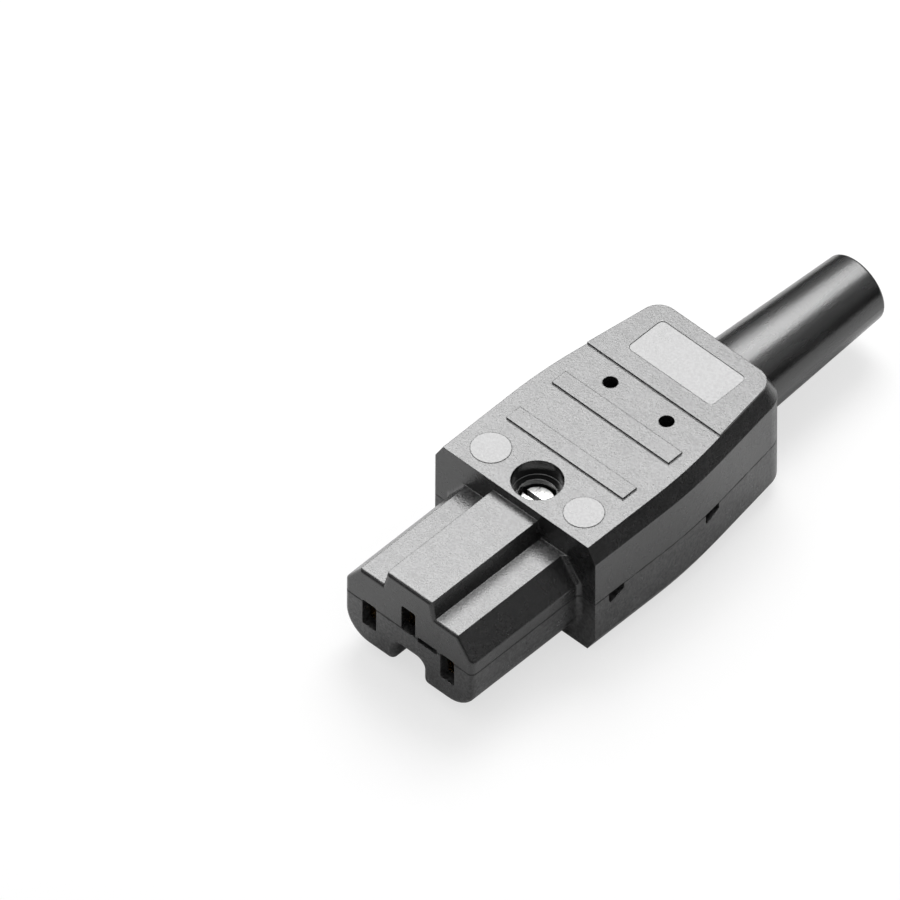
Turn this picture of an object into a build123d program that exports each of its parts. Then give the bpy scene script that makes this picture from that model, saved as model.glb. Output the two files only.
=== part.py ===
from build123d import *
import os

# Straight rewirable appliance connector for hot conditions: two half shells that close on a
# level joint plane, a stepped nose with a keyway, three contacts, a cord clamp and a bend sleeve.
# X is the width, +Y runs from the engagement face back to the sleeve, +Z is up.
# The origin is the middle of the engagement face, on the joint plane.

os.makedirs("parts", exist_ok=True)

# Contact layout on the engagement face
contact_pitch = 14.0
contact_offset = 2.0
slot_width = 2.5
slot_height = 4.5
slot_corner_radius = 0.35

# Nose section
nose_length = 20.4
nose_half_width = 11.5
nose_bottom = 7.7
nose_corner_radius = 4.4
shoulder_height = 2.0
ledge_height = 5.7
ledge_half_width = 8.75
tab_height = 8.5
tab_top_half_width = 4.0
tab_foot_half_width = 4.7
keyway_half_width = 2.6
keyway_roof = 3.9
keyway_corner_radius = 1.3
keyway_mouth_round = 1.0
nose_front_round = 0.8
tab_front_round = 0.6
nose_root_round = 0.8

# Body outline and heights
body_length = 39.8
body_top = 10.0
body_bottom = 9.45
front_half_width = 14.4
bend_half_width = 14.45
bend_from_front = 19.0
bend_radius = 80.0
rear_half_width = 11.4
rear_corner_radius = 4.1
bevel_width = 1.35
bevel_height = 2.5
shell_wall = 1.8
rear_wall = 3.0

# Raised and sunk details of the top
label_step_from_front = 26.4
label_step_rise = 0.3
label_half_width = 7.6
label_from_rear = 3.7
label_length = 6.8
label_depth = 0.1
label_corner_radius = 0.8
grip_rise = 0.3
grip_half_length = 10.5
grip_width = 2.65
grip_places = (10.7, 19.4)
pad_radius = 2.75
pad_spacing = 16.74
pad_from_front = 4.2
pad_rise = 0.1

# Housing screw and its threaded insert
screw_from_front = 4.2
screw_well_radius = 3.55
screw_well_depth = 2.6
screw_bore_radius = 2.55
screw_bore_depth = 5.7
screw_head_radius = 2.25
screw_head_height = 2.0
screw_slot_width = 0.8
screw_slot_depth = 1.0
screw_shank_radius = 1.5
screw_hole_clearance = 0.3
screw_boss_wall = 1.25
screw_tip_clearance = 1.0
lower_boss_radius = 3.5
insert_radius = 2.5
insert_length = 6.0
insert_clearance = 0.1

# Contacts and their chambers
front_wall = 1.6
chamber_width = 4.4
chamber_height = 6.0
contact_side_clearance = 0.1
contact_end_clearance = 0.3
contact_sheet = 0.5
contact_length = 16.6
leaf_height = 5.0
leaf_waist_from_front = 6.0
leaf_waist_half_gap = 0.9
leaf_rear_half_gap = 1.3

# Terminals
terminal_width = 5.6
terminal_length = 7.0
terminal_height = 5.0
terminal_side_clearance = 0.9
line_terminal_from_front = 7.1
earth_terminal_from_front = 15.6
terminal_plate_thickness = 0.8
terminal_plate_margin = 0.4
terminal_screw_radius = 1.25
terminal_screw_length = 5.0
terminal_screw_head_radius = 2.2
terminal_screw_head_height = 1.7
terminal_slot_width = 0.7
terminal_slot_depth = 0.8
terminal_hole_clearance = 0.3
tail_width = 1.8
tail_lap = 1.0
earth_tail_x = 4.9
tail_channel_clearance = 0.4

# Cord passage and cord clamp
cord_axis_height = -0.6
cord_radius = 3.0
clamp_from_front = 23.5
clamp_screw_spacing = 10.1
clamp_bar_length = 15.2
clamp_bar_width = 4.6
clamp_bar_thickness = 2.4
clamp_bar_corner_radius = 0.8
clamp_boss_radius = 2.0
clamp_boss_drop = 3.2
clamp_saddle_thickness = 3.0
clamp_hole_radius = 1.4
clamp_top_hole_radius = 1.05
clamp_top_hole_depth = 3.0
clamp_screw_radius = 1.1
clamp_screw_length = 10.0
clamp_screw_head_radius = 2.1
clamp_screw_head_height = 1.5

# Bend sleeve
sleeve_length = 25.5
sleeve_root_radius = 6.25
sleeve_end_radius = 5.1
sleeve_bore_radius = 3.4
sleeve_neck_radius = 5.2
sleeve_flange_radius = 6.9
sleeve_flange_thickness = 2.4
sleeve_edge_round = 0.4
sleeve_clearance = 0.1
rib_thickness = 1.8
rib_opening_margin = 0.6

# Wedge notches under the joint line at both sides
notch_places = (4.1, 23.0)
notch_length = 2.9
notch_height = 2.0
notch_rear_height = 1.1
notch_depth = 1.2
notch_corner_radius = 0.5

# Pry gap in the joint line on the engagement face
pry_gap_start = 1.7
pry_gap_end = 5.1
pry_gap_above = 0.3
pry_gap_below = 0.65
pry_gap_depth = 1.2

# How close two computed places have to be to count as one
tolerance = 0.01

# Places worked out from the sizes above
body_front = nose_length
body_rear = body_front + body_length
contact_x = contact_pitch / 2
cavity_top = body_top - shell_wall
cavity_bottom = -body_bottom + shell_wall
cavity_rear = body_rear - rear_wall
screw_y = body_front + screw_from_front
screw_seat = body_top - screw_bore_depth
clamp_y = body_front + clamp_from_front
flange_front = cavity_rear - sleeve_flange_thickness
rib_rear = flange_front - sleeve_clearance
contact_front = front_wall + contact_end_clearance
contact_rear = contact_front + contact_length
contact_width = chamber_width - 2 * contact_side_clearance
line_base = -contact_offset - chamber_height / 2
earth_base = contact_offset - chamber_height / 2
line_terminal_y = body_front + line_terminal_from_front
earth_terminal_y = body_front + earth_terminal_from_front
label_step_y = body_front + label_step_from_front
contact_places = ((-contact_x, -contact_offset), (contact_x, -contact_offset), (0, contact_offset))
pad_places = ((-pad_spacing / 2, body_front + pad_from_front), (pad_spacing / 2, body_front + pad_from_front))
clamp_places = ((-clamp_screw_spacing / 2, clamp_y), (clamp_screw_spacing / 2, clamp_y))
earth_tail = (
    (0, contact_rear - tail_lap),
    (earth_tail_x, screw_y - lower_boss_radius / 2),
    (earth_tail_x, screw_y + lower_boss_radius),
    ((terminal_width - tail_width) / 2, earth_terminal_y),
)
side_front_slope = (bend_half_width - front_half_width) / bend_from_front
side_rear_slope = (rear_half_width - bend_half_width) / (body_length - bend_from_front)


def side_half_width(from_front):
    """Half the body's width on the joint plane, at a distance behind the body's front face."""
    if from_front < bend_from_front:
        return front_half_width + side_front_slope * from_front
    return bend_half_width + side_rear_slope * (from_front - bend_from_front)


terminal_side = side_half_width(line_terminal_from_front) - shell_wall - terminal_side_clearance
line_terminal_x = terminal_side - terminal_width / 2
rib_half_width = side_half_width(rib_rear - body_front) - shell_wall


def body_outline(inset=0.0):
    """Plan of the body: slightly bowed sides that taper from the bend to the rear corners."""
    with BuildSketch(mode=Mode.PRIVATE) as plan:
        with BuildLine():
            Polyline(
                (-front_half_width, body_front),
                (front_half_width, body_front),
                (bend_half_width, body_front + bend_from_front),
                (rear_half_width, body_rear),
                (-rear_half_width, body_rear),
                (-bend_half_width, body_front + bend_from_front),
                close=True,
            )
        make_face()
        bends = plan.vertices().filter_by(lambda v: abs(v.Y - body_front - bend_from_front) < tolerance)
        fillet(bends, radius=bend_radius)
        fillet(plan.vertices().group_by(Axis.Y)[-1], radius=rear_corner_radius)
        if inset:
            offset(amount=-inset, mode=Mode.REPLACE)
    return plan.sketch


# Whole outer form of the moulding, before it is parted on the joint plane
with BuildPart() as outer_form:
    # Nose section, seen from the front
    with BuildSketch(Plane.XZ) as nose_section:
        with BuildLine():
            Polyline(
                (0, tab_height),
                (tab_top_half_width, tab_height),
                (tab_foot_half_width, ledge_height),
                (ledge_half_width, ledge_height),
                (nose_half_width, shoulder_height),
                (nose_half_width, -nose_bottom),
                (keyway_half_width, -nose_bottom),
                (keyway_half_width, -keyway_roof),
                (0, -keyway_roof),
                close=True,
            )
        make_face()
        mirror(about=Plane.YZ)
        outer_corners = nose_section.vertices().group_by(Axis.Y)[0].sort_by(Axis.X)
        fillet([outer_corners[0], outer_corners[-1]], radius=nose_corner_radius)
        roof_corners = nose_section.vertices().filter_by(
            lambda v: abs(v.Y + keyway_roof) < tolerance
        ).sort_by(Axis.X)
        fillet([roof_corners[0], roof_corners[-1]], radius=keyway_corner_radius)
        mouth_corners = nose_section.vertices().filter_by(
            lambda v: abs(v.Y + nose_bottom) < tolerance and abs(abs(v.X) - keyway_half_width) < tolerance
        )
        fillet(mouth_corners, radius=keyway_mouth_round)
    extrude(amount=-nose_length)
    # Rounded rim of the engagement face, finer along the stepped top
    rim = outer_form.edges().filter_by(lambda e: abs(e.center().Y) < tolerance)
    fillet(rim.filter_by(lambda e: e.center().Z < shoulder_height), radius=nose_front_round)
    rim = outer_form.edges().filter_by(lambda e: abs(e.center().Y) < tolerance)
    fillet(rim.filter_by(lambda e: e.center().Z > shoulder_height), radius=tab_front_round)
    # Body block with its bevelled side and rear edges
    with BuildSketch(Plane.XY.offset(-body_bottom)):
        add(body_outline())
    extrude(amount=body_bottom + body_top)
    top_face = outer_form.faces().sort_by(Axis.Z)[-1]
    top_edges = top_face.edges().filter_by(lambda e: e.center().Y > body_front + tolerance)
    chamfer(top_edges, length=bevel_width, length2=bevel_height, reference=top_face)
    bottom_face = outer_form.faces().sort_by(Axis.Z)[0]
    bottom_edges = bottom_face.edges().filter_by(lambda e: e.center().Y > body_front + tolerance)
    chamfer(bottom_edges, length=bevel_width, length2=bevel_height, reference=bottom_face)
    # Soft root where the nose leaves the front of the body
    root = outer_form.edges().filter_by(
        lambda e: abs(e.center().Y - body_front) < tolerance
        and abs(e.center().X) < nose_half_width + tolerance
        and -nose_bottom - tolerance < e.center().Z < ledge_height - tolerance
    )
    fillet(root, radius=nose_root_round)

# Moulding with the hollows that both shells share
with BuildPart() as moulding:
    add(outer_form.part)
    # Wiring space
    with BuildSketch(Plane.XY.offset(cavity_bottom)):
        add(body_outline(inset=shell_wall))
        with Locations((0, (body_front + cavity_rear) / 2)):
            Rectangle(2 * bend_half_width, cavity_rear - body_front, mode=Mode.INTERSECT)
    extrude(amount=cavity_top - cavity_bottom, mode=Mode.SUBTRACT)
    # Contact chambers behind the engagement face, open to the wiring space
    with BuildSketch(Plane.XZ.offset(-front_wall)):
        with Locations(*contact_places):
            Rectangle(chamber_width, chamber_height)
    extrude(amount=-(body_front + shell_wall - front_wall), mode=Mode.SUBTRACT)
    # Entry slots for the blades
    with BuildSketch(Plane.XZ):
        with Locations(*contact_places):
            RectangleRounded(slot_width, slot_height, slot_corner_radius)
    extrude(amount=-front_wall, mode=Mode.SUBTRACT)
    # Round exit for the neck of the bend sleeve
    with BuildSketch(Plane.XZ.offset(-cavity_rear)):
        with Locations((0, cord_axis_height)):
            Circle(sleeve_neck_radius + sleeve_clearance)
    extrude(amount=-rear_wall, mode=Mode.SUBTRACT)


def pry_gap_outline():
    """Plan of the pry gap in the front edge of the joint, for the shell that is being cut."""
    with BuildSketch(mode=Mode.PRIVATE) as plan:
        with Locations(((pry_gap_start + pry_gap_end) / 2, pry_gap_depth / 2)):
            Rectangle(pry_gap_end - pry_gap_start, pry_gap_depth)
    return plan.sketch


def sleeve_rib(half_width, low, high):
    """Cross rib that traps the flange of the sleeve, between two heights."""
    with BuildPart(mode=Mode.PRIVATE) as rib:
        with BuildSketch(Plane.XZ.offset(-rib_rear)):
            with Locations((0, (low + high) / 2)):
                Rectangle(2 * half_width, high - low)
            with Locations((0, cord_axis_height)):
                Circle(sleeve_bore_radius + rib_opening_margin, mode=Mode.SUBTRACT)
        extrude(amount=rib_thickness)
    return rib.part


with BuildPart() as upper_shell:
    add(moulding.part)
    split(bisect_by=Plane.XY, keep=Keep.TOP)
    # Screw column down to the joint plane
    with BuildSketch():
        with Locations((0, screw_y)):
            Circle(screw_well_radius + screw_boss_wall)
    extrude(amount=cavity_top)
    # Two clamp posts with the saddle between them
    with BuildSketch(Plane.XY.offset(-clamp_boss_drop)):
        with Locations(*clamp_places):
            Circle(clamp_boss_radius)
    extrude(amount=clamp_boss_drop + cavity_top)
    with BuildSketch(Plane.XZ.offset(-clamp_y - clamp_saddle_thickness / 2)):
        with Locations((0, cavity_top / 2)):
            Rectangle(clamp_screw_spacing, cavity_top)
        with Locations((0, cord_axis_height)):
            Circle(cord_radius, mode=Mode.SUBTRACT)
    extrude(amount=clamp_saddle_thickness)
    add(sleeve_rib(rib_half_width, 0, cavity_top))
    # Raised grip bars, round pads and the raised label end
    with BuildSketch(Plane.XY.offset(body_top)):
        for place in grip_places:
            with Locations((0, body_front + place)):
                Rectangle(2 * grip_half_length, grip_width)
    extrude(amount=grip_rise)
    with BuildSketch(Plane.XY.offset(body_top)):
        with Locations(*pad_places):
            Circle(pad_radius)
    extrude(amount=pad_rise)
    with BuildSketch(Plane.XY.offset(body_top)):
        add(body_outline(inset=bevel_width))
        with Locations((0, (label_step_y + body_rear) / 2)):
            Rectangle(2 * bend_half_width, body_rear - label_step_y, mode=Mode.INTERSECT)
    extrude(amount=label_step_rise)
    # Sunk label panel, left blank
    with BuildSketch(Plane.XY.offset(body_top + label_step_rise)):
        with Locations((0, body_rear - label_from_rear - label_length / 2)):
            RectangleRounded(2 * label_half_width, label_length, label_corner_radius)
    extrude(amount=-label_depth, mode=Mode.SUBTRACT)
    # Stepped well for the housing screw, and the pilot holes of the clamp screws
    with Locations(Plane.XY.offset(body_top)):
        with Locations((0, screw_y)):
            CounterBoreHole(screw_shank_radius + screw_hole_clearance, screw_bore_radius, screw_bore_depth)
            Hole(screw_well_radius, depth=screw_well_depth)
        with Locations(*clamp_places):
            Hole(clamp_top_hole_radius, depth=clamp_top_hole_depth)
    with BuildSketch(Plane.XY.offset(-clamp_boss_drop)):
        with Locations(*clamp_places):
            Circle(clamp_hole_radius)
    extrude(amount=clamp_boss_drop + body_top - clamp_top_hole_depth, mode=Mode.SUBTRACT)
    # Upper half of the pry gap
    with BuildSketch():
        add(pry_gap_outline())
    extrude(amount=pry_gap_above, mode=Mode.SUBTRACT)
upper_shell.part.label = "upper_shell"
export_step(upper_shell.part, "parts/upper_shell.step")

with BuildPart() as lower_shell:
    add(moulding.part)
    split(bisect_by=Plane.XY, keep=Keep.BOTTOM)
    # Screw post with the pocket of the threaded insert
    with BuildSketch(Plane.XY.offset(cavity_bottom)):
        with Locations((0, screw_y)):
            Circle(lower_boss_radius)
    extrude(amount=-cavity_bottom)
    with BuildSketch():
        with Locations((0, screw_y)):
            Circle(insert_radius + insert_clearance)
    extrude(amount=-insert_length, mode=Mode.SUBTRACT)
    # Stands under the terminals
    with BuildSketch(Plane.XY.offset(cavity_bottom)):
        with Locations((-line_terminal_x, line_terminal_y), (line_terminal_x, line_terminal_y)):
            Rectangle(terminal_width, terminal_length)
    extrude(amount=line_base - cavity_bottom)
    with BuildSketch(Plane.XY.offset(cavity_bottom)):
        with Locations((0, earth_terminal_y)):
            Rectangle(terminal_width, terminal_length)
    extrude(amount=earth_base - cavity_bottom)
    add(sleeve_rib(rib_half_width, cavity_bottom, 0))
    # Way for the earth strip past the screw post
    with BuildSketch(Plane.XY.offset(earth_base)):
        with BuildLine():
            Polyline(*earth_tail)
        trace(line_width=tail_width + 2 * tail_channel_clearance)
        with Locations((0, (body_front + shell_wall) / 2)):
            Rectangle(2 * bend_half_width, body_front + shell_wall, mode=Mode.INTERSECT)
    extrude(amount=-earth_base, mode=Mode.SUBTRACT)
    # Wedge notches under the joint line, deeper at the front than at the rear
    for place in notch_places:
        notch_front = body_front + place - notch_length / 2
        for side_x in (-side_half_width(place), side_half_width(place)):
            with BuildSketch(Plane.YZ.offset(side_x - notch_depth)) as notch_side:
                with BuildLine():
                    Polyline(
                        (notch_front, 0),
                        (notch_front, -notch_height),
                        (notch_front + notch_length, -notch_rear_height),
                        (notch_front + notch_length, 0),
                        close=True,
                    )
                make_face()
                fillet(notch_side.vertices().sort_by(Axis.Y)[0], radius=notch_corner_radius)
            extrude(amount=2 * notch_depth, mode=Mode.SUBTRACT)
    # Lower half of the pry gap
    with BuildSketch():
        add(pry_gap_outline())
    extrude(amount=-pry_gap_below, mode=Mode.SUBTRACT)
lower_shell.part.label = "lower_shell"
export_step(lower_shell.part, "parts/lower_shell.step")

with BuildPart() as threaded_insert:
    with BuildSketch():
        with Locations((0, screw_y)):
            Circle(insert_radius)
            Circle(screw_shank_radius + screw_hole_clearance, mode=Mode.SUBTRACT)
    extrude(amount=-insert_length)
threaded_insert.part.label = "threaded_insert"
export_step(threaded_insert.part, "parts/threaded_insert.step")


def slotted_screw(name, x, y, seat, head, shank, slot, facing=1):
    """Cheese-head screw seated at a height; facing 1 has the head up, -1 has it down."""
    head_radius, head_height = head
    shank_radius, shank_length = shank
    slot_wide, slot_deep = slot
    with BuildPart() as screw:
        with BuildSketch(Plane.XY.offset(seat)):
            with Locations((x, y)):
                Circle(head_radius)
        extrude(amount=facing * head_height)
        with BuildSketch(Plane.XY.offset(seat)):
            with Locations((x, y)):
                Circle(shank_radius)
        extrude(amount=-facing * shank_length)
        with BuildSketch(Plane.XY.offset(seat + facing * head_height)):
            with Locations((x, y)):
                Rectangle(2 * head_radius, slot_wide)
        extrude(amount=-facing * slot_deep, mode=Mode.SUBTRACT)
    screw.part.label = name
    export_step(screw.part, f"parts/{name}.step")


slotted_screw(
    "housing_screw",
    0,
    screw_y,
    screw_seat,
    (screw_head_radius, screw_head_height),
    (screw_shank_radius, screw_seat + insert_length - screw_tip_clearance),
    (screw_slot_width, screw_slot_depth),
)


def blade_contact(name, x, base, tail, pad):
    """Fork contact of one sheet: base strip with two sprung leaves, tail and terminal pad."""
    leaf = (
        (chamber_width / 2 - contact_side_clearance - contact_sheet / 2, contact_front),
        (leaf_waist_half_gap + contact_sheet / 2, contact_front + leaf_waist_from_front),
        (leaf_rear_half_gap + contact_sheet / 2, contact_rear),
    )
    with BuildPart() as contact:
        with BuildSketch(Plane.XY.offset(base)):
            with Locations((x, (contact_front + contact_rear) / 2)):
                Rectangle(contact_width, contact_length)
            with BuildLine():
                Polyline(*tail)
            trace(line_width=tail_width)
            with Locations(pad):
                Rectangle(terminal_width, terminal_length)
        extrude(amount=contact_sheet)
        for side in (-1, 1):
            with BuildSketch(Plane.XY.offset(base + contact_sheet)):
                with BuildLine():
                    Polyline(*[(x + side * across, along) for across, along in leaf])
                trace(line_width=contact_sheet)
            extrude(amount=leaf_height)
        # Screw hole through the pad
        with BuildSketch(Plane.XY.offset(base)):
            with Locations(pad):
                Circle(terminal_screw_radius + terminal_hole_clearance)
        extrude(amount=contact_sheet, mode=Mode.SUBTRACT)
    contact.part.label = name
    export_step(contact.part, f"parts/{name}.step")


def terminal(role, x, y, base):
    """Terminal of one wire: block on the contact's pad, clamping plate and screw."""
    block_top = base + contact_sheet + terminal_height
    with BuildPart() as block:
        with BuildSketch(Plane.XY.offset(base + contact_sheet)):
            with Locations((x, y)):
                Rectangle(terminal_width, terminal_length)
                Circle(terminal_screw_radius + terminal_hole_clearance, mode=Mode.SUBTRACT)
        extrude(amount=terminal_height)
    block.part.label = f"{role}_terminal_block"
    export_step(block.part, f"parts/{role}_terminal_block.step")
    with BuildPart() as plate:
        with BuildSketch(Plane.XY.offset(block_top)):
            with Locations((x, y)):
                Rectangle(terminal_width - terminal_plate_margin, terminal_width - terminal_plate_margin)
                Circle(terminal_screw_radius + terminal_hole_clearance, mode=Mode.SUBTRACT)
        extrude(amount=terminal_plate_thickness)
    plate.part.label = f"{role}_clamping_plate"
    export_step(plate.part, f"parts/{role}_clamping_plate.step")
    slotted_screw(
        f"{role}_terminal_screw",
        x,
        y,
        block_top + terminal_plate_thickness,
        (terminal_screw_head_radius, terminal_screw_head_height),
        (terminal_screw_radius, terminal_screw_length),
        (terminal_slot_width, terminal_slot_depth),
    )


for role, side in (("line", -1), ("neutral", 1)):
    straight_tail = ((side * contact_x, contact_rear - tail_lap), (side * line_terminal_x, line_terminal_y))
    blade_contact(f"{role}_contact", side * contact_x, line_base, straight_tail, straight_tail[-1])
    terminal(role, side * line_terminal_x, line_terminal_y, line_base)
blade_contact("earth_contact", 0, earth_base, earth_tail, (0, earth_terminal_y))
terminal("earth", 0, earth_terminal_y, earth_base)

# Clamp bar under the cord, drawn up against the two posts
with BuildPart() as clamp_bar:
    with BuildSketch(Plane.XY.offset(-clamp_boss_drop - clamp_bar_thickness)):
        with Locations((0, clamp_y)):
            RectangleRounded(clamp_bar_length, clamp_bar_width, clamp_bar_corner_radius)
        with Locations(*clamp_places):
            Circle(clamp_hole_radius, mode=Mode.SUBTRACT)
    extrude(amount=clamp_bar_thickness)
    with BuildSketch(Plane.XZ.offset(-clamp_y - clamp_bar_width / 2)):
        with Locations((0, cord_axis_height)):
            Circle(cord_radius)
    extrude(amount=clamp_bar_width, mode=Mode.SUBTRACT)
clamp_bar.part.label = "clamp_bar"
export_step(clamp_bar.part, "parts/clamp_bar.step")

for name, (clamp_x, place_y) in zip(("clamp_screw_left", "clamp_screw_right"), clamp_places):
    slotted_screw(
        name,
        clamp_x,
        place_y,
        -clamp_boss_drop - clamp_bar_thickness,
        (clamp_screw_head_radius, clamp_screw_head_height),
        (clamp_screw_radius, clamp_screw_length),
        (terminal_slot_width, terminal_slot_depth),
        facing=-1,
    )

# Bend sleeve: trapped flange, neck through the rear wall, and the tapering tube
with BuildPart() as bend_sleeve:
    with BuildSketch(Plane.XY.offset(cord_axis_height)):
        with BuildLine():
            Polyline(
                (sleeve_bore_radius, flange_front),
                (sleeve_flange_radius, flange_front),
                (sleeve_flange_radius, cavity_rear),
                (sleeve_neck_radius, cavity_rear),
                (sleeve_neck_radius, body_rear),
                (sleeve_root_radius, body_rear),
                (sleeve_end_radius, body_rear + sleeve_length),
                (sleeve_bore_radius, body_rear + sleeve_length),
                close=True,
            )
        make_face()
    revolve(axis=Axis((0, 0, cord_axis_height), (0, 1, 0)))
    end_rims = bend_sleeve.edges().group_by(Axis.Y)[-1]
    fillet(end_rims, radius=sleeve_edge_round)
bend_sleeve.part.label = "bend_sleeve"
export_step(bend_sleeve.part, "parts/bend_sleeve.step")
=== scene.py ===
import math

import bpy
from mathutils import Matrix, Vector


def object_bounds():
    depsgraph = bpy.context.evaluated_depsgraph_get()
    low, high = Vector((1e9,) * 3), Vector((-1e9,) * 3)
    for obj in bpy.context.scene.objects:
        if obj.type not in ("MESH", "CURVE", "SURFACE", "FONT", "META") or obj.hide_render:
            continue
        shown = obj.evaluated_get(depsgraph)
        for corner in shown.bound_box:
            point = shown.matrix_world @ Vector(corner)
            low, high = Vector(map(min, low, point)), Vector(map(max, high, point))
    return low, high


# Looks of the straight appliance connector: black satin moulding, rubber bend sleeve, brass and
# plated or blackened steel inside. Every length is in metres, in the CAD frame: X is the width,
# +Y runs back to the sleeve, +Z is up.

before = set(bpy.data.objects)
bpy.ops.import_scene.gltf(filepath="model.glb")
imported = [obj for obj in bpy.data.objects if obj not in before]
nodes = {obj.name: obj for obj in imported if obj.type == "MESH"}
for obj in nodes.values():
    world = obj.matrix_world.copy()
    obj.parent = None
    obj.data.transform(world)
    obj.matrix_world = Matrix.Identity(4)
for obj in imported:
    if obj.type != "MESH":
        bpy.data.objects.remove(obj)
cad_low, cad_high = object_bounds()

MM = 0.001

# Places on the housing whose finish differs from the plastic round them
nose_length = 20.4 * MM
body_top = 10.0 * MM
pad_centres = ((-8.37 * MM, 24.6 * MM), (8.37 * MM, 24.6 * MM))
pad_radius = 2.75 * MM
label_centre = (0.0, 53.1 * MM)
label_half_size = (7.6 * MM, 3.4 * MM)
screw_centre = (0.0, 24.6 * MM)
screw_well_radius = 3.55 * MM
screw_slot_floor = 5.3 * MM

# How far a mask reaches past the edge that it follows
pad_margin = 0.02 * MM
edge_margin = 0.05 * MM
polished_depth = 0.1 * MM

# The open seam between the half shells
joint_drop = 0.08 * MM
joint_half_widths = (0.05 * MM, 0.16 * MM)
nose_joint_widening = 0.06 * MM

# Nearly all values of a noise lie in this span
noise_span = (0.3, 0.7)


# Camera: the photograph's long-lens view from the front right, high above

camera_right = Vector((0.727589, 0.686004, 0.003549))
camera_up = Vector((-0.506305, 0.533492, 0.677525))
camera_back = Vector((0.462892, -0.494757, 0.735491))
camera_distance = 0.4
frame_middle = Vector((-12.782, 21.472, 8.766)) * MM
frame_width = 117.864 * MM

camera_data = bpy.data.cameras.new("camera")
camera_data.type = "ORTHO"
camera_data.ortho_scale = frame_width
camera_data.clip_start = 10 * MM
camera_data.clip_end = 10.0
camera = bpy.data.objects.new("camera", camera_data)
bpy.context.scene.collection.objects.link(camera)
turn = Matrix((camera_right, camera_up, camera_back)).transposed().to_4x4()
camera.matrix_world = Matrix.Translation(frame_middle + camera_back * camera_distance) @ turn
bpy.context.scene.camera = camera
bpy.context.scene.view_settings.view_transform = "Standard"


# Node helpers

class Finish:
    """A material under construction: adds nodes and links them in one call."""

    def __init__(self, name):
        self.material = bpy.data.materials.new(name)
        self.material.use_nodes = True
        self.tree = self.material.node_tree
        self.tree.nodes.clear()
        self.shader = self.node("ShaderNodeBsdfPrincipled")
        self.output = self.node("ShaderNodeOutputMaterial")
        self.tree.links.new(self.shader.outputs["BSDF"], self.output.inputs["Surface"])
        coordinates = self.node("ShaderNodeTexCoord")
        self.place = coordinates.outputs["Object"]
        self.facing = coordinates.outputs["Normal"]

    def node(self, kind, values=None, **settings):
        made = self.tree.nodes.new(kind)
        for key, value in settings.items():
            setattr(made, key, value)
        for key, value in (values or {}).items():
            self.put(made.inputs[key], value)
        return made

    def put(self, socket, value):
        if isinstance(value, bpy.types.NodeSocket):
            self.tree.links.new(value, socket)
        else:
            socket.default_value = value

    def surface(self, **values):
        """Sets the shader's own sockets, named with _ for a space."""
        for key, value in values.items():
            self.put(self.shader.inputs[key.replace("_", " ")], value)

    def noise(self, size, detail=2.0, roughness=0.5, stretch=None):
        """Noise with features of about that size, drawn out along stretch where it is given."""
        place = self.place
        if stretch:
            mapping = self.node("ShaderNodeMapping", {"Vector": place, "Scale": stretch})
            place = mapping.outputs["Vector"]
        made = self.node(
            "ShaderNodeTexNoise",
            {"Vector": place, "Scale": 1.0 / size, "Detail": detail, "Roughness": roughness},
        )
        return made.outputs["Fac"]

    def math(self, operation, a, b=0.0, clamp=False):
        made = self.node("ShaderNodeMath", {0: a, 1: b}, operation=operation, use_clamp=clamp)
        return made.outputs["Value"]

    def plus(self, a, b, clamp=False):
        return self.math("ADD", a, b, clamp)

    def minus(self, a, b):
        return self.math("SUBTRACT", a, b)

    def times(self, a, b):
        return self.math("MULTIPLY", a, b)

    def nearer(self, value, middle, reach):
        """Mask of the places where a value is less than reach from the middle."""
        away = self.math("ABSOLUTE", self.minus(value, middle))
        return self.math("LESS_THAN", away, reach)

    def shared(self, a, part, b):
        """That part of a, and the rest of b."""
        return self.plus(self.times(a, part), self.times(b, 1.0 - part))

    def between(self, value, span, ends=(0.0, 1.0)):
        """Maps a value from one span to another, clamped."""
        made = self.node(
            "ShaderNodeMapRange",
            {
                "Value": value,
                "From Min": span[0],
                "From Max": span[1],
                "To Min": ends[0],
                "To Max": ends[1],
            },
        )
        return made.outputs["Result"]

    def tint(self, factor, dark, light):
        """Colour between two tones."""
        made = self.node("ShaderNodeMix", {"Factor": factor}, data_type="RGBA")
        made.inputs["A"].default_value = (*dark, 1.0)
        made.inputs["B"].default_value = (*light, 1.0)
        return made.outputs["Result"]

    def axes(self, vector=None):
        """X, Y and Z of a vector, or of the place on the object."""
        vector = self.place if vector is None else vector
        made = self.node("ShaderNodeSeparateXYZ", {"Vector": vector})
        return made.outputs["X"], made.outputs["Y"], made.outputs["Z"]

    def relief(self, height, depth, edge):
        """Bump of that depth over edges softened by a small radius."""
        rounded = self.node("ShaderNodeBevel", {"Radius": edge}, samples=6)
        bump = self.node(
            "ShaderNodeBump",
            {
                "Height": height,
                "Distance": depth,
                "Strength": 1.0,
                "Normal": rounded.outputs["Normal"],
            },
        )
        self.put(self.shader.inputs["Normal"], bump.outputs["Normal"])


# Masks on the housing

def round_mask(finish, centre, radius):
    """Mask of the upright cylinder round a centre."""
    x, y, _ = finish.axes()
    across = finish.math("POWER", finish.minus(x, centre[0]), 2.0)
    along = finish.math("POWER", finish.minus(y, centre[1]), 2.0)
    return finish.math("LESS_THAN", finish.math("SQRT", finish.plus(across, along)), radius)


def polished_places(finish):
    """Mask of the two round pads and the floor of the label panel."""
    x, y, z = finish.axes()
    mask = finish.times(
        finish.nearer(x, label_centre[0], label_half_size[0]),
        finish.nearer(y, label_centre[1], label_half_size[1]),
    )
    for centre in pad_centres:
        disc = round_mask(finish, centre, pad_radius + pad_margin)
        mask = finish.math("MAXIMUM", mask, disc)
    above = finish.math("GREATER_THAN", z, body_top - polished_depth)
    return finish.times(mask, above)


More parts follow.
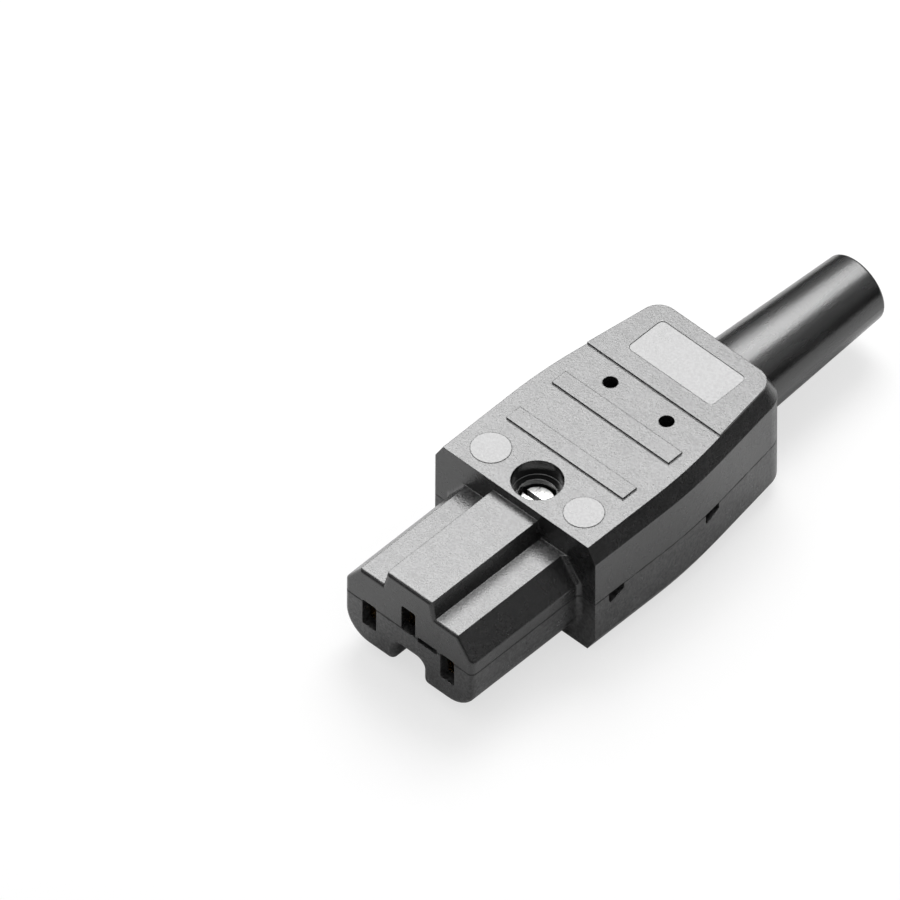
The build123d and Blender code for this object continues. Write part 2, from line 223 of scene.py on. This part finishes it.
def joint_line(finish):
    """Mask of the fine open seam where the two half shells meet, a little wider here and there."""
    _, y, z = finish.axes()
    wander = finish.noise(1.5 * MM, detail=2.0)
    half_width = finish.between(wander, (0.35, 0.65), joint_half_widths)
    on_nose = finish.math("LESS_THAN", y, nose_length)
    half_width = finish.plus(half_width, finish.times(on_nose, nose_joint_widening))
    return finish.nearer(z, -joint_drop, half_width)


def screw_well(finish):
    """Mask of the walls of the screw well, below the top face."""
    z = finish.axes()[2]
    below = finish.math("LESS_THAN", z, body_top - edge_margin)
    return finish.times(round_mask(finish, screw_centre, screw_well_radius + edge_margin), below)


# Finishes

def shell_plastic(name, grain_depth, roughness, index, shaded_side_speck, polished_and_sheen=None):
    """Black satin moulding with a fine spark texture and light flecks.

    shaded_side_speck is the part of the flecks' lightness that faces other than the top keep; the
    flecks are the moulding's own, and their dimming on those faces is painted shade.
    polished_and_sheen gives the mask of the pads and the label floor, which are glossier and also
    get a lighter tone, a painted sheen. The joint line is dark and dull, and the screw well is dark
    with painted shade and less rough.
    """
    finish = Finish(name)
    smooth_and_sheen = polished_and_sheen(finish) if polished_and_sheen else 0.0
    joint = joint_line(finish)
    well = screw_well(finish)

    cloud = finish.between(finish.noise(4 * MM, detail=3.0), noise_span)
    speck = finish.between(finish.noise(0.42 * MM, detail=2.0), (0.40, 0.62))
    upward = finish.axes(finish.facing)[2]
    tone = finish.shared(cloud, 0.35, speck)
    # Painted shade: the flecks are darker on faces that don't face up than on the top
    tone = finish.times(tone, finish.between(upward, (0.85, 0.97), (shaded_side_speck, 1.0)))
    # Painted sheen: the pads and the label floor get a lighter tone on top of their lower roughness
    tone = finish.plus(tone, finish.times(smooth_and_sheen, 0.2))
    # The joint line is the seam's own dark; in the screw well the darkest tone is painted shade in
    # the recess
    tone = finish.times(tone, finish.minus(1.0, finish.math("MAXIMUM", joint, well)))

    patches = finish.noise(1.6 * MM, detail=4.0)
    rough = finish.between(patches, (0.25, 0.75), (roughness - 0.03, roughness + 0.03))
    rough = finish.minus(rough, finish.times(smooth_and_sheen, 0.16))
    rough = finish.minus(rough, finish.times(well, 0.17))
    rough = finish.plus(rough, finish.times(joint, 0.4), clamp=True)

    finish.surface(
        Base_Color=finish.tint(tone, dark=(0.005, 0.005, 0.0051), light=(0.058, 0.058, 0.0588)),
        Roughness=rough,
        IOR=index,
    )
    grain = finish.noise(0.3 * MM, detail=3.0, roughness=0.65)
    grain_left = finish.minus(1.0, finish.times(smooth_and_sheen, 0.85))
    height = finish.minus(finish.times(grain, grain_left), finish.times(joint, 4.0))
    finish.relief(height, depth=grain_depth, edge=0.14 * MM)
    return finish.material


def sleeve_rubber():
    """Black rubber with a soft sheen and faint flow marks along its length."""
    finish = Finish("sleeve_rubber")
    flow = finish.noise(1.2 * MM, detail=3.0, stretch=(1.0, 0.12, 1.0))
    finish.surface(
        Base_Color=finish.tint(flow, dark=(0.003, 0.003, 0.003), light=(0.010, 0.010, 0.0102)),
        Roughness=finish.between(flow, noise_span, (0.24, 0.30)),
        IOR=1.66,
    )
    grain = finish.shared(flow, 0.6, finish.noise(0.3 * MM, detail=2.0))
    finish.relief(grain, depth=0.025 * MM, edge=0.1 * MM)
    return finish.material


def turned_metal(name, dark, light, roughness, slot_floor=None):
    """Turned or pressed metal with fine tool lines and a clouded plating.

    Where the height of a slot's floor is given, the metal is even and pale above it, and dark
    on it and below.
    """
    finish = Finish(name)
    lines = finish.noise(0.25 * MM, detail=3.0, stretch=(1.0, 0.15, 1.0))
    cloud = finish.noise(2.5 * MM, detail=3.0)
    if slot_floor is not None:
        on_face = finish.math("GREATER_THAN", finish.axes()[2], slot_floor + edge_margin)
        cloud = finish.times(finish.between(cloud, noise_span, (0.75, 1.0)), on_face)
    finish.surface(
        Base_Color=finish.tint(cloud, dark, light),
        Metallic=1.0,
        Roughness=finish.between(lines, noise_span, (roughness - 0.05, roughness + 0.08)),
    )
    finish.relief(lines, depth=0.01 * MM, edge=0.08 * MM)
    return finish.material


def clamp_plastic():
    """Dark grey fibre-filled plastic of the clamp bar."""
    finish = Finish("clamp_plastic")
    fibre = finish.noise(0.5 * MM, detail=4.0, stretch=(0.25, 1.0, 1.0))
    finish.surface(
        Base_Color=finish.tint(fibre, dark=(0.030, 0.030, 0.032), light=(0.060, 0.060, 0.064)),
        Roughness=finish.between(fibre, noise_span, (0.48, 0.60)),
    )
    finish.relief(fibre, depth=0.02 * MM, edge=0.12 * MM)
    return finish.material


upper_plastic = shell_plastic(
    "upper_shell_plastic",
    grain_depth=0.026 * MM,
    roughness=0.265,
    index=1.54,
    shaded_side_speck=0.22,
    polished_and_sheen=polished_places,
)
lower_plastic = shell_plastic(
    "lower_shell_plastic",
    grain_depth=0.036 * MM,
    roughness=0.29,
    index=1.45,
    shaded_side_speck=0.85,
)
contact_brass = turned_metal(
    "contact_brass", dark=(0.46, 0.36, 0.20), light=(0.62, 0.50, 0.30), roughness=0.34
)
terminal_brass = turned_metal(
    "terminal_brass", dark=(0.54, 0.38, 0.16), light=(0.70, 0.51, 0.24), roughness=0.36
)
plated_steel = turned_metal(
    "plated_steel", dark=(0.62, 0.62, 0.60), light=(0.80, 0.80, 0.79), roughness=0.26
)
screw_steel = turned_metal(
    "screw_steel",
    dark=(0.06, 0.06, 0.06),
    light=(0.78, 0.78, 0.77),
    roughness=0.28,
    slot_floor=screw_slot_floor,
)
blackened_steel = turned_metal(
    "blackened_steel", dark=(0.035, 0.035, 0.037), light=(0.07, 0.07, 0.072), roughness=0.32
)


def dress(name, material):
    """Gives a CAD node its finish, in the slots it already has."""
    target = nodes[name]
    if not target.material_slots:
        target.data.materials.append(material)
    for slot in target.material_slots:
        slot.material = material


dress("upper_shell", upper_plastic)
dress("lower_shell", lower_plastic)
dress("bend_sleeve", sleeve_rubber())
dress("clamp_bar", clamp_plastic())
dress("housing_screw", screw_steel)
dress("threaded_insert", terminal_brass)
dress("clamp_screw_left", blackened_steel)
dress("clamp_screw_right", blackened_steel)
for wire in ("line", "neutral", "earth"):
    dress(f"{wire}_contact", contact_brass)
    dress(f"{wire}_terminal_block", terminal_brass)
    dress(f"{wire}_clamping_plate", plated_steel)
    dress(f"{wire}_terminal_screw", plated_steel)


# Stage: a white floor under the part, and a dark card all round it that only gloss reflects

def stage_mesh(name, points, faces, paint):
    mesh = bpy.data.meshes.new(name)
    mesh.from_pydata(points, [], faces)
    mesh.materials.append(paint.material)
    made = bpy.data.objects.new(name, mesh)
    bpy.context.scene.collection.objects.link(made)
    return made


floor_height = cad_low.z - 0.05 * MM
floor_half = 1.5
floor_corners = ((-1, -1), (1, -1), (1, 1), (-1, 1))
washed_share = 0.65  # the part of the floor's shading that plain white hides from the camera

floor_paint = Finish("floor_paint")
floor_paint.surface(
    Base_Color=floor_paint.tint(
        floor_paint.noise(0.05, detail=2.0), dark=(0.95, 0.95, 0.95), light=(0.97, 0.97, 0.97)
    ),
    Roughness=0.9,
    Specular_IOR_Level=0.1,
)
seen_by_camera = floor_paint.node("ShaderNodeLightPath").outputs["Is Camera Ray"]
plain_white = floor_paint.node(
    "ShaderNodeEmission", {"Color": (1.0, 1.0, 1.0, 1.0), "Strength": 1.0}
)
washed_out = floor_paint.node(
    "ShaderNodeMixShader",
    {
        0: floor_paint.times(seen_by_camera, washed_share),
        1: floor_paint.shader.outputs["BSDF"],
        2: plain_white.outputs["Emission"],
    },
)
floor_paint.put(floor_paint.output.inputs["Surface"], washed_out.outputs["Shader"])
stage_mesh(
    "floor",
    [(x * floor_half, y * floor_half, floor_height) for x, y in floor_corners],
    [(0, 1, 2, 3)],
    floor_paint,
)

card_radius = 0.115
card_height = 0.09
card_middle_y = 0.04
card_sides = 48
card_fade = (8 * MM, 45 * MM)  # heights between which the card turns from black to grey

card_paint = Finish("card_paint")
card_rise = card_paint.between(card_paint.axes()[2], card_fade)
card_paint.surface(
    Base_Color=card_paint.tint(card_rise, dark=(0.004, 0.004, 0.004), light=(0.6, 0.6, 0.6)),
    Roughness=1.0,
    Specular_IOR_Level=0.0,
)
card_points = []
for z in (floor_height, floor_height + card_height):
    for i in range(card_sides):
        angle = 2 * math.pi * i / card_sides
        x = card_radius * math.cos(angle)
        y = card_radius * math.sin(angle) + card_middle_y
        card_points.append((x, y, z))
card_faces = []
for i in range(card_sides):
    following = (i + 1) % card_sides
    card_faces.append((i, following, card_sides + following, card_sides + i))
card = stage_mesh("dark_card", card_points, card_faces, card_paint)
card.visible_camera = False
card.visible_diffuse = False
card.visible_shadow = False
card.visible_transmission = False


# Lights: one large softbox for the gloss, a smaller one for matt surfaces, and the world

def soft_light(name, place, aim, width, depth, radiance, gloss):
    """Rectangular softbox of a given radiance, aimed at a point, for gloss or for matt surfaces."""
    data = bpy.data.lights.new(name, "AREA")
    data.shape = "RECTANGLE"
    data.size = width
    data.size_y = depth
    data.energy = radiance * math.pi * width * depth
    lamp = bpy.data.objects.new(name, data)
    bpy.context.scene.collection.objects.link(lamp)
    lamp.location = place
    lamp.rotation_mode = "QUATERNION"
    lamp.rotation_quaternion = (Vector(aim) - Vector(place)).to_track_quat("-Z", "Y")
    lamp.visible_camera = False
    lamp.visible_diffuse = not gloss
    lamp.visible_glossy = gloss


soft_light(
    "overhead_sheen",
    place=(-0.22, 0.155, 0.5),
    aim=(-0.22, 0.155, 0.0),
    width=0.72,
    depth=0.59,
    radiance=11.5,
    gloss=True,
)
soft_light(
    "overhead_fill",
    place=(-0.17, 0.27, 0.46),
    aim=(0.0, 0.0, 0.0),
    width=0.34,
    depth=0.34,
    radiance=6.0,
    gloss=False,
)

lighting_strength = 0.6  # of the world as it lights matt surfaces
seen_strength = 1.0  # of the world as it is seen, also in gloss and through glass

world = bpy.data.worlds.new("studio")
bpy.context.scene.world = world
world.use_nodes = True
world_nodes = world.node_tree.nodes
world_links = world.node_tree.links
background = world_nodes["Background"]
background.inputs["Color"].default_value = (1.0, 1.0, 1.0, 1.0)
light_path = world_nodes.new("ShaderNodeLightPath")
seen = light_path.outputs["Is Camera Ray"]
for ray in ("Is Glossy Ray", "Is Transmission Ray"):
    either = world_nodes.new("ShaderNodeMath")
    either.operation = "MAXIMUM"
    world_links.new(seen, either.inputs[0])
    world_links.new(light_path.outputs[ray], either.inputs[1])
    seen = either.outputs["Value"]
strength = world_nodes.new("ShaderNodeMapRange")
world_links.new(seen, strength.inputs["Value"])
strength.inputs["To Min"].default_value = lighting_strength
strength.inputs["To Max"].default_value = seen_strength
world_links.new(strength.outputs["Result"], background.inputs["Strength"])
